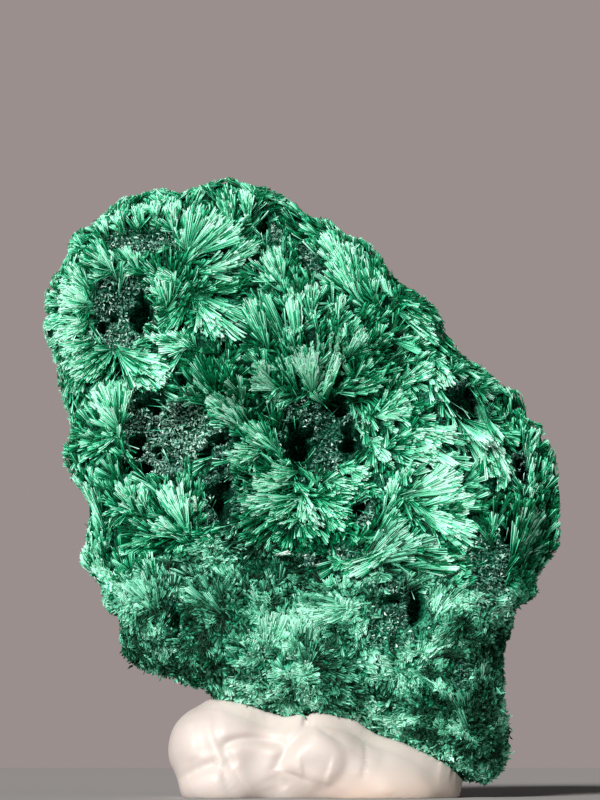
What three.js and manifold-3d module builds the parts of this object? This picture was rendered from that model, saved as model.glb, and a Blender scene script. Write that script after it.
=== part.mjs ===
// A malachite specimen, 53 mm tall, standing on the lump of white putty that it is shown on.
// The stone is one slab of fibrous malachite. Fans of needles radiate from the hollows of its front face,
// line its rim and cover its back more coarsely. Its foot is pressed into the putty.
// Millimetres, +Z up, and the front face looks along -Y.

import * as THREE from 'three';
import { ConvexHull } from 'three/addons/math/ConvexHull.js';
import { ImprovedNoise } from 'three/addons/math/ImprovedNoise.js';
import { mergeVertices } from 'three/addons/utils/BufferGeometryUtils.js';
import Module from 'manifold-3d';

// The outline of the slab from the front, as far as the needle tips reach: x and z, clockwise from the top.
const OUTLINE = [
  [-6.3, 52.6], [-3.3, 51.7], [-1.0, 50.7], [2.4, 48.8], [5.7, 46.9], [8.1, 43.6], [11.2, 41.4],
  [12.5, 39.0], [15.2, 35.6], [18.5, 33.3], [20.6, 30.1], [21.9, 26.8], [21.9, 23.2], [21.5, 20.4],
  [19.1, 16.4], [16.7, 12.7], [17.1, 8.5], [17.1, 3.7], [16.2, 1.9], [14.4, 1.1], [11.0, 2.8],
  [6.9, 4.4], [0.8, 6.1], [-5.3, 7.3], [-9.3, 9.2], [-12.3, 9.8], [-14.5, 10.9], [-15.9, 14.9],
  [-17.9, 18.2], [-17.6, 21.5], [-19.6, 27.3], [-20.5, 33.4], [-22.1, 39.2], [-21.9, 42.4],
  [-19.6, 47.6], [-15.3, 50.5], [-11.6, 51.5],
];
const HEART = new THREE.Vector2(-0.4, 28.2);
const MEAN_RADIUS = 24;
const OUTLINE_STEPS = 720;
const NEAREST_RIM = 0.995;

// How far the needle tips stand out in front of the middle plane and behind it, and how blunt the rim is.
const FRONT_DEPTH = 6.8;
const BACK_DEPTH = 6.4;
const LEAST_DEPTH = 2;
const RIM_BLUNTNESS = 6;
const LEAN_BACK = 0.05;
const LOWER_BULGE = { depth: 2.4, from: 23, to: 12 };
const BACK_BULGE = { depth: 1.6, x: -2, z: 20, radius: 13 };
const LUMPS = [{ height: 1.2, size: 6.5 }, { height: 0.4, size: 2.9 }];
const LUMPS_APART = 10;

// The crest on the right, where the front face turns into the darker side face: x of the crest at each z.
const CREST = [[0, 15.2], [8, 15.4], [15, 15.8], [23, 16.2], [30, 12.8], [40, 9.5], [54, 5]];
const CREST_DEPTH = 7.6;
const SIDE_SLOPE = 1.05;

// Hollows that the needles radiate from: the centre, radius and depth of a conical bowl.
const BOWLS = [
  { x: -14.0, z: 38.8, radius: 6.4, depth: 3.4 },
  { x: 1.6, z: 28.9, radius: 8.2, depth: 5.2 },
  { x: -9.7, z: 28.2, radius: 4.8, depth: 2.4 },
  { x: -4.2, z: 37.2, radius: 3.2, depth: 1.6 },
  { x: 8.9, z: 14.2, radius: 3.6, depth: 2.4 },
];

// Deep pits in the front face: x, z, mean radius and depth.
const PITS = [
  [13.1, 30.6, 1.4, 3.4], [18.2, 25.8, 1.0, 2.6], [16.5, 20.4, 0.9, 2.4], [8.9, 14.1, 1.6, 3.0],
  [-7.0, 27.7, 1.1, 2.2], [-13.3, 38.9, 1.0, 2.6], [-0.3, 28.2, 1.5, 2.4], [4.2, 28.4, 1.2, 2.0],
  [-6.5, 23.6, 1.2, 2.4], [-4.0, 37.6, 1.0, 2.2], [13.5, 18.7, 0.8, 2.2],
];
const PIT_SIDES = 7;
const PIT_FLOOR = { reach: 0.6, least: 0.7, more: 0.2 };
const PIT_RIM_DROP = 0.5;
const PIT_UNEVENNESS = 0.4;

// Fans of needles on the front face: x and z where the fan starts, its heading from +X towards +Z in degrees,
// its length, and half its spread in degrees.
const FRONT_FANS = [
  [-14.6, 40.0, 143, 6.6, 30], [-15.0, 38.4, -168, 6.0, 30], [-14.4, 37.4, -118, 6.6, 28],
  [-13.8, 37.0, -62, 6.8, 26], [-13.1, 38.2, -6, 5.8, 30], [-13.2, 39.6, 46, 6.8, 26],
  [-14.2, 40.3, 94, 8.2, 26], [-5.8, 43.8, 112, 7.4, 22], [-5.4, 43.8, 68, 7.0, 22],
  [-7.0, 42.6, 30, 7.0, 20], [-8.0, 40.2, -10, 5.6, 24], [-9.0, 39.2, -44, 7.6, 16],
  [-3.0, 41.0, 52, 6.0, 24], [5.0, 39.2, 118, 8.2, 20], [5.0, 39.2, 76, 7.4, 20], [5.4, 38.9, 34, 6.2, 24],
  [8.6, 38.4, -50, 6.4, 20], [0.6, 37.6, 96, 5.0, 28],
  [1.4, 31.2, 100, 6.6, 21], [3.0, 31.4, 62, 7.0, 20], [4.2, 30.2, 22, 7.0, 22], [4.4, 28.3, -18, 6.8, 22],
  [-0.8, 30.4, 140, 6.6, 22], [-1.3, 28.3, -178, 6.4, 22], [-1.0, 26.6, -140, 6.6, 21],
  [0.4, 25.4, -101, 7.0, 20], [2.0, 25.4, -62, 7.6, 20], [-6.3, 32.0, 112, 5.8, 26],
  [-8.2, 31.6, 164, 5.4, 26], [-14.4, 27.0, 112, 6.4, 32], [-8.6, 19.6, 124, 7.0, 24],
  [-7.0, 20.8, -60, 5.2, 27], [-15.0, 20.6, 106, 6.6, 20], [7.6, 32.4, 42, 6.6, 20],
  [9.0, 28.8, 8, 6.4, 22], [9.2, 26.2, -22, 7.2, 19], [9.0, 21.6, -2, 7.2, 24], [4.4, 17.6, 36, 6.0, 22],
  [5.0, 14.6, -166, 6.0, 24], [12.6, 31.6, -52, 6.2, 20], [17.0, 17.8, 78, 6.4, 24],
  [17.6, 25.4, 66, 6.0, 26], [-2.4, 16.8, 66, 6.0, 24], [-5.8, 13.6, 132, 6.2, 24], [-11.2, 13.8, 122, 6.0, 26],
  [0.6, 9.6, 88, 6.0, 24], [9.4, 10.2, 32, 6.6, 24], [13.2, 4.6, 100, 6.8, 22],
];

// The corners of a front fan: shares of its length, and heights over the level that the needle tips reach.
const FAN_START = -0.9;
const FAN_VALLEY = { reach: 0.9, height: -0.5 };
const FAN_TIP = { reach: 0.97, height: 0.2 };
const FAN_KEEL = -2.2;
const BLADES = 3;
const RAGGED = 0.09;

// Low fans on the rim and the back, strewn on a sunflower spiral over the whole stone, and their relief.
const STREWN_FANS = { count: 56, seed: 11, frontEdge: -0.3, length: 8.8, spread: 28, unevenness: 0.4 };
const STRAY = 2.2;
const STREWN_START = -1.2;
const VALLEYS = [[0.5, -1.1], [0.92, -0.9]];
const RIDGES = [[0.42, -0.55], [0.76, -0.2], [1.0, 0.05], [1.1, -1.2]];
const STREWN_BLADES = 3;
const HALF_GAP = 4;
const COVERED = [0.1, 1.1];

// Rough ground between the fans, and the least distance between two corners.
const CORNER_SEED = 5;
const FAN_SEED = 7;
const GROUND = { count: 1900, height: -1.2, rise: 0.9, spacing: 1.85, frontHeight: -1.6, frontSpacing: 2.2 };
const LEAST_SPACING = 0.35;

// The putty: soft lumps kneaded into one. Each has its middle x, y, z, then half its width, depth and height.
const PUTTY_LUMPS = [
  [-0.2, 0.6, 1.6, 9.6, 7.4, 5.0], [-5.8, -2.2, 3.9, 4.6, 5.4, 3.6], [-5.8, -2.9, 1.2, 3.6, 5.2, 2.6],
  [1.2, -4.4, 2.8, 4.4, 4.0, 3.2], [6.2, -2.6, 0.4, 6.5, 5.4, 3.8], [-3.6, 3.6, 3.6, 5.2, 4.4, 4.6],
  [4.8, 4.2, 3.2, 6.2, 4.2, 4.4],
];
const PUTTY_DETAIL = 2;
const FLOOR_BLOCK = { width: 80, depth: 20 };
const PUTTY_WAVE = { height: 0.35, size: 4 };
const SEATING_GAP = 0.4;
const GROW_TURN = 0.2;

const GOLDEN_TURN = Math.PI * (3 - Math.sqrt(5));
const wasm = await Module();
wasm.setup();
const noise = new ImprovedNoise();

function seeded(seed) {
  let state = seed;
  return () => {
    state = (state * 16807) % 2147483647;
    return state / 2147483647;
  };
}

// The outline as a radius for every direction about the heart of the slab.
const outlineCurve = new THREE.CatmullRomCurve3(OUTLINE.map(([x, z]) => new THREE.Vector3(x, 0, z)), true);
const outlineRays = outlineCurve.getPoints(OUTLINE_STEPS).slice(1).map((point) => {
  const arm = new THREE.Vector2(point.x, point.z).sub(HEART);
  return { angle: arm.angle(), radius: arm.length() };
}).sort((a, b) => a.angle - b.angle);

function rimRadius(angle) {
  const turn = THREE.MathUtils.euclideanModulo(angle, 2 * Math.PI);
  const next = outlineRays.findIndex((ray) => ray.angle >= turn);
  const after = outlineRays[Math.max(next, 0)];
  const before = outlineRays.at(next < 1 ? -1 : next - 1);
  const gap = THREE.MathUtils.euclideanModulo(after.angle - before.angle, 2 * Math.PI);
  const share = gap > 0 ? THREE.MathUtils.euclideanModulo(turn - before.angle, 2 * Math.PI) / gap : 0;
  return THREE.MathUtils.lerp(before.radius, after.radius, share);
}

function crestX(z) {
  const next = Math.max(1, CREST.findIndex(([level]) => level >= z));
  const [z0, x0] = CREST[next - 1];
  const [z1, x1] = CREST[next];
  return THREE.MathUtils.mapLinear(z, z0, z1, x0, x1);
}

function middlePlane(z) {
  return (z - HEART.y) * LEAN_BACK;
}

// Depth of the front needle tips before the middle plane: a dome, a lower bulge, bowls and a side face.
function frontDepth(x, z) {
  const { from, to } = LOWER_BULGE;
  let depth = FRONT_DEPTH + LOWER_BULGE.depth * THREE.MathUtils.smoothstep((z - from) / (to - from), 0, 1);
  for (const bowl of BOWLS) {
    depth -= bowl.depth * Math.max(0, 1 - Math.hypot(x - bowl.x, z - bowl.z) / bowl.radius);
  }
  return Math.min(depth, CREST_DEPTH - SIDE_SLOPE * (x - crestX(z)));
}

function backDepth(x, z) {
  const away = Math.hypot(x - BACK_BULGE.x, z - BACK_BULGE.z);
  return BACK_DEPTH + BACK_BULGE.depth * Math.exp(-((away / BACK_BULGE.radius) ** 2));
}

function lumpsAt(x, y, z) {
  return LUMPS.reduce((sum, { height, size }) => sum + height * noise.noise(x / size, y / size, z / size), 0);
}

// A place on the stone is a way out of its heart, a unit vector: x and z head for the rim, and y is the side.
function wayTo(x, z, side) {
  const arm = new THREE.Vector2(x, z).sub(HEART);
  const reach = Math.min(NEAREST_RIM, arm.length() / rimRadius(arm.angle()));
  const y = side * (1 - reach ** 2);
  const flat = Math.sqrt(1 - y ** 2);
  return new THREE.Vector3(flat * Math.cos(arm.angle()), y, flat * Math.sin(arm.angle()));
}

// The point of the stone at a way, at a height over the level of the needle tips.
function onStone(way, height) {
  const side = way.y < 0 ? -1 : 1;
  const reach = Math.sqrt(1 - Math.abs(way.y));
  const angle = Math.atan2(way.z, way.x);
  const x = HEART.x + rimRadius(angle) * reach * Math.cos(angle);
  const z = HEART.y + rimRadius(angle) * reach * Math.sin(angle);
  const depth = (side < 0 ? frontDepth(x, z) : backDepth(x, z)) + lumpsAt(x, LUMPS_APART * side, z);
  const blunt = Math.sqrt(1 - reach ** RIM_BLUNTNESS);
  const out = reach ** 4;
  const normal = new THREE.Vector3(out * Math.cos(angle), side * (1 - out), out * Math.sin(angle));
  const point = new THREE.Vector3(x, middlePlane(z) + side * Math.max(depth, LEAST_DEPTH) * blunt, z);
  return point.addScaledVector(normal.normalize(), height);
}

// A strewn fan spreads from its start towards its tip, over the ground and the fans that come after it.
function strewnFan(start, tip, spread) {
  const heading = tip.clone().addScaledVector(start, -tip.dot(start)).normalize();
  const across = new THREE.Vector3().crossVectors(start, heading);
  return { start, heading, across, span: start.angleTo(tip), spread: THREE.MathUtils.degToRad(spread) };
}

function onFan({ start, heading, across, span, spread }, turnShare, reachShare) {
  const turn = turnShare * spread;
  const arc = reachShare * span;
  return start.clone().multiplyScalar(Math.cos(arc))
    .addScaledVector(heading, Math.sin(arc) * Math.cos(turn))
    .addScaledVector(across, Math.sin(arc) * Math.sin(turn));
}

function isUnder(way, { start, heading, across, span, spread }) {
  const arc = start.angleTo(way);
  const turn = Math.abs(Math.atan2(way.dot(across), way.dot(heading)));
  const isAlong = arc > COVERED[0] * span && arc < COVERED[1] * span;
  return isAlong && turn < spread + THREE.MathUtils.degToRad(HALF_GAP);
}

// Strewn fans head for the nearest stretch of the outline, give or take a third of a turn.
function strewnFans() {
  const { count, seed, frontEdge, length, spread, unevenness } = STREWN_FANS;
  const random = seeded(seed);
  const fans = [];
  for (let i = 0; i < count; i += 1) {
    const y = -1 + (2 * (i + 0.5)) / count;
    const flat = Math.sqrt(1 - y ** 2);
    const start = new THREE.Vector3(flat * Math.cos(i * GOLDEN_TURN), y, flat * Math.sin(i * GOLDEN_TURN));
    const heading = new THREE.Vector3(start.x, 0, start.z).normalize();
    heading.add(new THREE.Vector3(random() - 0.5, random() - 0.5, random() - 0.5).multiplyScalar(STRAY));
    const tip = start.clone().addScaledVector(heading.normalize(), length / MEAN_RADIUS).normalize();
    if (y > frontEdge) {
      fans.push(strewnFan(start, tip, spread * (1 + unevenness * (random() - 0.5))));
    }
  }
  return fans;
}

// The corners of the stone, each a way and a height: the outline and the pits first, then the strewn fans,
// then the ground between them.
function stoneCorners() {
  const random = seeded(CORNER_SEED);
  const corners = [];
  const add = (way, height, spacing, above = []) => {
    const near = Math.cos(spacing / MEAN_RADIUS);
    if (!above.some((fan) => isUnder(way, fan)) && !corners.some((corner) => corner.way.dot(way) > near)) {
      corners.push({ way, height });
    }
  };
  for (const [x, z] of OUTLINE) {
    add(wayTo(x, z, -1), 0, LEAST_SPACING);
  }
  for (const [x, z, radius, depth] of PITS) {
    add(wayTo(x, z, -1), -depth, LEAST_SPACING);
    for (let i = 0; i < PIT_SIDES; i += 1) {
      const turn = (2 * Math.PI * (i + PIT_UNEVENNESS * random())) / PIT_SIDES;
      const [across, up] = [radius * Math.cos(turn), radius * Math.sin(turn)];
      const { reach, least, more } = PIT_FLOOR;
      add(wayTo(x + reach * across, z + reach * up, -1), -depth * (least + more * random()), LEAST_SPACING);
      add(wayTo(x + across, z + up, -1), -PIT_RIM_DROP * random(), LEAST_SPACING);
    }
  }
  const fans = strewnFans();
  fans.forEach((fan, order) => {
    const above = fans.slice(0, order);
    const ragged = () => RAGGED * (random() - 0.5);
    add(fan.start, STREWN_START, LEAST_SPACING, above);
    for (let blade = 0; blade < STREWN_BLADES; blade += 1) {
      const push = ragged();
      for (const [share, height] of RIDGES) {
        const ridge = onFan(fan, (2 * blade + 1) / STREWN_BLADES - 1, share + push);
        add(ridge, height + ragged(), LEAST_SPACING, above);
      }
    }
    for (let valley = 0; valley <= STREWN_BLADES; valley += 1) {
      for (const [share, height] of VALLEYS) {
        add(onFan(fan, (2 * valley) / STREWN_BLADES - 1, share + ragged()), height, LEAST_SPACING, above);
      }
    }
  });
  for (let i = 0; i < GROUND.count; i += 1) {
    const y = -1 + (2 * (i + 0.5)) / GROUND.count;
    const flat = Math.sqrt(1 - y ** 2);
    const way = new THREE.Vector3(flat * Math.cos(i * GOLDEN_TURN), y, flat * Math.sin(i * GOLDEN_TURN));
    const isFront = y < STREWN_FANS.frontEdge;
    const height = (isFront ? GROUND.frontHeight : GROUND.height) + GROUND.rise * random();
    add(way, height, isFront ? GROUND.frontSpacing : GROUND.spacing, fans);
  }
  return corners;
}

// Ways on a ball are joined into triangles by their hull, and the corners then move out to the stone's skin.
const corners = stoneCorners();
const numbers = new Map(corners.map(({ way }, number) => [way, number]));
const stoneFaces = new ConvexHull().setFromPoints(corners.map(({ way }) => way)).faces.flatMap((face) => (
  [face.edge, face.edge.next, face.edge.next.next].map((edge) => numbers.get(edge.head().point))
));

function ground(grow) {
  const geometry = new THREE.BufferGeometry();
  const points = corners.flatMap(({ way, height }) => onStone(way, height + grow).toArray());
  geometry.setAttribute('position', new THREE.Float32BufferAttribute(points, 3));
  geometry.setIndex(stoneFaces);
  return solidOf(geometry);
}

// One fan of the front face: fluted blades that rise from a sunken start to ragged tips, with a keel inside
// the stone.
function frontFan([x, z, heading, length, spread], random, grow) {
  const step = (2 * spread) / BLADES;
  const ragged = () => RAGGED * (random() - 0.5);
  const place = (angle, reach, height) => {
    const turn = THREE.MathUtils.degToRad(heading + angle);
    return onStone(wayTo(x + reach * Math.cos(turn), z + reach * Math.sin(turn), -1), height);
  };
  const points = [place(0, -grow, FAN_START + grow)];
  const faces = [];
  for (let i = 0; i <= BLADES; i += 1) {
    const angle = (1 + GROW_TURN * grow) * (i * step - spread);
    const reach = length * (FAN_VALLEY.reach + ragged()) + grow;
    points.push(place(angle, reach, FAN_VALLEY.height + 2 * ragged() + grow));
    points.push(place(angle, reach, FAN_KEEL - grow));
  }
  const firstTip = points.length;
  for (let i = 0; i < BLADES; i += 1) {
    const reach = length * (FAN_TIP.reach + ragged()) + grow;
    points.push(place((i + 0.5) * step - spread, reach, FAN_TIP.height + 4 * ragged() + grow));
    const [valley, keel, nextValley, nextKeel] = [2 * i + 1, 2 * i + 2, 2 * i + 3, 2 * i + 4];
    const tip = firstTip + i;
    faces.push(0, valley, tip, 0, tip, nextValley, 0, nextKeel, keel);
    faces.push(valley, keel, tip, tip, keel, nextKeel, tip, nextKeel, nextValley);
  }
  faces.push(0, 2, 1, 0, 2 * BLADES + 1, 2 * BLADES + 2);
  const geometry = new THREE.BufferGeometry();
  geometry.setAttribute('position', new THREE.Float32BufferAttribute(points.flatMap((p) => p.toArray()), 3));
  geometry.setIndex(faces);
  return solidOf(geometry);
}

function stone(grow) {
  const random = seeded(FAN_SEED);
  return FRONT_FANS.reduce((whole, values) => whole.add(frontFan(values, random, grow)), ground(grow));
}

// A geometry without normals and uvs, with its shared corners merged, becomes a closed solid.
function merged(geometry) {
  geometry.deleteAttribute('normal');
  geometry.deleteAttribute('uv');
  return mergeVertices(geometry, 1e-4);
}

function solidOf(geometry) {
  const vertProperties = new Float32Array(geometry.attributes.position.array);
  const triVerts = new Uint32Array(geometry.index.array);
  return new wasm.Manifold(new wasm.Mesh({ numProp: 3, vertProperties, triVerts }));
}

function geometryOf(solid) {
  const { vertProperties, triVerts } = solid.getMesh();
  const geometry = new THREE.BufferGeometry();
  geometry.setAttribute('position', new THREE.BufferAttribute(vertProperties, 3));
  geometry.setIndex(new THREE.BufferAttribute(triVerts, 1));
  return geometry;
}

// One soft lump of putty, with a slow wave in its skin.
function puttyLump([x, y, z, halfWidth, halfDepth, halfHeight]) {
  const ball = merged(new THREE.IcosahedronGeometry(1, PUTTY_DETAIL));
  const skin = ball.attributes.position;
  for (let i = 0; i < skin.count; i += 1) {
    const way = new THREE.Vector3().fromBufferAttribute(skin, i).normalize();
    const point = way.clone().multiply(new THREE.Vector3(halfWidth, halfDepth, halfHeight));
    point.add(new THREE.Vector3(x, y, z));
    const { size, height } = PUTTY_WAVE;
    point.addScaledVector(way, height * noise.noise(point.x / size, point.y / size, point.z / size));
    skin.setXYZ(i, point.x, point.y, point.z);
  }
  return solidOf(ball);
}

function putty() {
  const { width, depth } = FLOOR_BLOCK;
  const floor = solidOf(merged(new THREE.BoxGeometry(width, width, depth).translate(0, 0, -depth / 2)));
  const lumps = PUTTY_LUMPS.map(puttyLump).reduce((whole, lump) => whole.add(lump));
  return lumps.subtract(floor).subtract(stone(SEATING_GAP));
}

const malachiteGreen = new THREE.MeshStandardMaterial({ color: '#1d8a60', roughness: 0.55 });
malachiteGreen.flatShading = true;
const puttyWhite = new THREE.MeshStandardMaterial({ color: '#efe3da', roughness: 0.6 });
puttyWhite.flatShading = true;

const group = new THREE.Group();
for (const [name, solid, material] of [
  ['malachite', stone(0), malachiteGreen],
  ['putty', putty(), puttyWhite],
]) {
  const mesh = new THREE.Mesh(geometryOf(solid), material);
  mesh.name = name;
  group.add(mesh);
}

// The origin lies on the ground, under the middle of the whole.
const middle = new THREE.Box3().setFromObject(group).getCenter(new THREE.Vector3());
group.position.set(-middle.x, -middle.y, 0);

export default group;
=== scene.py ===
# A malachite specimen, 53 mm tall: a slab of fibrous malachite pressed into a lump of white putty.
# Sizes are in millimetres, and each mesh is brought to metres as it is made.

import bpy
import numpy as np
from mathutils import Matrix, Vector, noise
from mathutils.bvhtree import BVHTree


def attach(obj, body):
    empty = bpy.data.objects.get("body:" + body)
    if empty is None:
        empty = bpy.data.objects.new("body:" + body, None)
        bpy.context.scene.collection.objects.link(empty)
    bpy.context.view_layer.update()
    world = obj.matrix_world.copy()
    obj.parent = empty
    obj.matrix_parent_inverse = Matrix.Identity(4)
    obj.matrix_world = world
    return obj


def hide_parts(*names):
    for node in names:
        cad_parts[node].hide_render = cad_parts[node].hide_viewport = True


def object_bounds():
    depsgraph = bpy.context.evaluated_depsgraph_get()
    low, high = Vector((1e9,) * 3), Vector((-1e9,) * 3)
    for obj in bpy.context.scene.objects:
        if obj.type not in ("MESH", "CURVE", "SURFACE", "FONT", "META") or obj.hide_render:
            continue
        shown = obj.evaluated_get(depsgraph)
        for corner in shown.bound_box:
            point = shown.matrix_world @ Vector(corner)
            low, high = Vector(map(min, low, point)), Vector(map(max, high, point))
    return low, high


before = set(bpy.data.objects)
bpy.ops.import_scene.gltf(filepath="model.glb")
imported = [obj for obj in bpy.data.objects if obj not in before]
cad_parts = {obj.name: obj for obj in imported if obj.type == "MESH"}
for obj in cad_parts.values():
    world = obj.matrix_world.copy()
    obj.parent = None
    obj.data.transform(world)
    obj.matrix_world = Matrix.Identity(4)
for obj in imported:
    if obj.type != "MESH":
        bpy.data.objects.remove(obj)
cad_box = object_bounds()


# The body of the stone: massive, finely crystalline malachite, dark green to black in its hollows.
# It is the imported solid, worn smooth and sunk under the needles that grow on it, and roughened
# by a crust of crystals too small to tell apart.

MM = 0.001


def worn_copy(node, voxel, rounds, inset=0.0, last_rounds=0):
    """A node's solid with even faces, smoothed and then sunk: its points in millimetres and triangles."""
    piece = bpy.data.objects.new(node + "_copy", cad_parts[node].data.copy())
    bpy.context.scene.collection.objects.link(piece)
    even = piece.modifiers.new("even", "REMESH")
    even.mode = "VOXEL"
    even.voxel_size = voxel * MM
    worn = piece.modifiers.new("worn", "SMOOTH")
    worn.iterations = rounds
    if inset:
        sunk = piece.modifiers.new("sunk", "DISPLACE")
        sunk.strength = -inset * MM
        sunk.mid_level = 0
        again = piece.modifiers.new("even_again", "REMESH")
        again.mode = "VOXEL"
        again.voxel_size = voxel * MM
        last = piece.modifiers.new("worn_again", "SMOOTH")
        last.iterations = last_rounds
    mesh = bpy.data.meshes.new_from_object(piece.evaluated_get(bpy.context.evaluated_depsgraph_get()))
    mesh.calc_loop_triangles()
    points = np.empty(3 * len(mesh.vertices), np.float32)
    mesh.vertices.foreach_get("co", points)
    triangles = np.empty(3 * len(mesh.loop_triangles), np.int32)
    mesh.loop_triangles.foreach_get("vertices", triangles)
    bpy.data.objects.remove(piece)
    bpy.data.meshes.remove(mesh)
    return points.reshape(-1, 3).astype(float) / MM, triangles.reshape(-1, 3)


def unit(vectors):
    """The vectors at length one."""
    return vectors / np.maximum(np.linalg.norm(vectors, axis=-1, keepdims=True), 1e-9)


def normals_of(points, triangles):
    """The smooth normal at every point of a skin."""
    a, b, c = (points[triangles[:, i]] for i in range(3))
    flat = np.cross(b - a, c - a)
    sums = np.zeros_like(points)
    for i in range(3):
        np.add.at(sums, triangles[:, i], flat)
    return unit(sums)


def crumble(points, size):
    """Noise at every point, from about -1 to 1, with lumps of that size."""
    return np.array([noise.noise(Vector(point)) for point in (points / size).tolist()])


def new_piece(name, points, triangles, material, smooth=False):
    """A mesh piece that rides on the stone's one body."""
    mesh = bpy.data.meshes.new(name)
    mesh.from_pydata((points * MM).tolist(), [], triangles.tolist())
    mesh.polygons.foreach_set("use_smooth", [smooth] * len(mesh.polygons))
    mesh.materials.append(material)
    piece = bpy.data.objects.new(name, mesh)
    bpy.context.scene.collection.objects.link(piece)
    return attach(piece, "root")


class Sock:
    """A shader socket that can be added, multiplied and mixed as a number or a colour."""

    def __init__(self, tree, socket):
        self.tree = tree
        self.socket = socket

    def node(self, kind, settings=None, inputs=None, output=0):
        """Any node, with its settings first and then its sockets' values or links."""
        made = self.tree.nodes.new(kind)
        for name, value in (settings or {}).items():
            if name == "stops":
                ramp = made.color_ramp
                while len(ramp.elements) < len(value):
                    ramp.elements.new(0.5)
                for element, (place, colour) in zip(ramp.elements, value):
                    element.position = place
                    element.color = (*colour, 1)
            else:
                setattr(made, name, value)
        for name, value in (inputs or {}).items():
            if isinstance(value, Sock):
                self.tree.links.new(value.socket, made.inputs[name])
            else:
                made.inputs[name].default_value = value
        return Sock(self.tree, made.outputs[output])

    def math(self, operation, *values):
        return self.node("ShaderNodeMath", {"operation": operation}, dict(enumerate(values)))

    def __add__(self, other):
        return self.math("ADD", self, other)

    def __sub__(self, other):
        return self.math("SUBTRACT", self, other)

    def __mul__(self, other):
        return self.math("MULTIPLY", self, other)

    def __rsub__(self, other):
        return self.math("SUBTRACT", other, self)

    __radd__ = __add__
    __rmul__ = __mul__

    def between(self, low, high):
        """0 below low, 1 above high and smooth between them."""
        settings = {"interpolation_type": "SMOOTHSTEP"}
        return self.node("ShaderNodeMapRange", settings, {"Value": self, "From Min": low, "From Max": high})

    def mixed(self, first, second):
        """The colour between two, with this number as the share of the second."""
        colours = {6: (*first, 1) if isinstance(first, tuple) else first}
        colours[7] = (*second, 1) if isinstance(second, tuple) else second
        return self.node("ShaderNodeMix", {"data_type": "RGBA"}, {0: self, **colours}, 2)


def new_material(name, **settings):
    """A material's Principled shader, with the values that are the same all over, and a first socket."""
    material = bpy.data.materials.new(name)
    material.use_nodes = True
    shader = material.node_tree.nodes["Principled BSDF"]
    for socket, value in settings.items():
        shader.inputs[socket.replace("_", " ")].default_value = value
    return material, shader, Sock(material.node_tree, None)


def feed(shader, socket, value):
    value.tree.links.new(value.socket, shader.inputs[socket])


# Grains and patches in a metre, and the heights in metres between which the pale foot ends.
GRAIN_SCALE = 4600.0
PATCH_SCALE = 420.0
FOOT_BORDER = (0.018, 0.027)
BORDER_WAVER = 0.012
crust, crust_shader, start = new_material("malachite_crust", Roughness=0.7, Specular_IOR_Level=0.06)
place = start.node("ShaderNodeTexCoord", output="Object")
grains = start.node("ShaderNodeTexNoise", None, {"Vector": place, "Scale": GRAIN_SCALE, "Detail": 4.0})
patches = start.node("ShaderNodeTexNoise", None, {"Vector": place, "Scale": PATCH_SCALE, "Detail": 2.0})
crust_tone = (grains * 0.9 + patches * 0.5).between(0.5, 0.92)
# Above the foot the crust is dark: partly the stone's own dark green, partly painted shade that stands for
# the shadow in the gaps between the needles.
dark_stops = [
    (0.0, (0.0005, 0.008, 0.004)), (0.45, (0.001, 0.03, 0.015)),
    (0.75, (0.003, 0.08, 0.04)), (1.0, (0.03, 0.22, 0.13)),
]
pale_stops = [
    (0.0, (0.0005, 0.012, 0.005)), (0.4, (0.001, 0.08, 0.035)),
    (0.75, (0.02, 0.28, 0.15)), (1.0, (0.15, 0.6, 0.4)),
]
dark_crust = start.node("ShaderNodeValToRGB", {"stops": dark_stops}, {"Fac": crust_tone})
pale_crust = start.node("ShaderNodeValToRGB", {"stops": pale_stops}, {"Fac": crust_tone})
height = start.node("ShaderNodeSeparateXYZ", None, {"Vector": place}, "Z")
low = 1 - (height + patches * BORDER_WAVER).between(*FOOT_BORDER)
feed(crust_shader, "Base Color", low.mixed(dark_crust, pale_crust))
crust_bump = start.node("ShaderNodeBump", None, {"Height": grains, "Strength": 0.6, "Distance": 0.0002})
feed(crust_shader, "Normal", crust_bump)

# Middle x and z and half width and height, in the front face.
HOLES = [
    (-13.2, 39.5, 1.0, 1.6), (-16.4, 38.5, 0.5, 0.5), (-15.5, 39.4, 0.35, 0.35), (-12.1, 31.4, 1.1, 0.7),
    (-13.2, 28.2, 0.6, 1.3), (-14.0, 26.0, 0.6, 0.5), (-12.4, 26.1, 0.7, 0.5), (-11.4, 27.6, 0.4, 0.5),
    (-6.6, 28.6, 0.9, 0.5), (-7.5, 27.4, 0.6, 0.6), (-9.4, 33.0, 0.4, 0.5), (0.1, 28.5, 1.2, 1.9),
    (4.3, 28.9, 0.9, 1.6), (3.2, 31.8, 1.1, 0.8), (-6.2, 23.4, 0.8, 2.0), (13.5, 31.1, 1.35, 1.8),
    (18.2, 26.2, 0.6, 1.1), (16.8, 20.6, 0.6, 0.8), (9.4, 14.4, 0.7, 2.0), (7.2, 15.3, 0.8, 0.5),
    (-2.9, 46.9, 0.5, 1.2), (-14.8, 34.7, 0.35, 1.2), (-9.6, 13.7, 0.4, 1.3), (4.9, 22.9, 0.5, 0.7),
]
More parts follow.
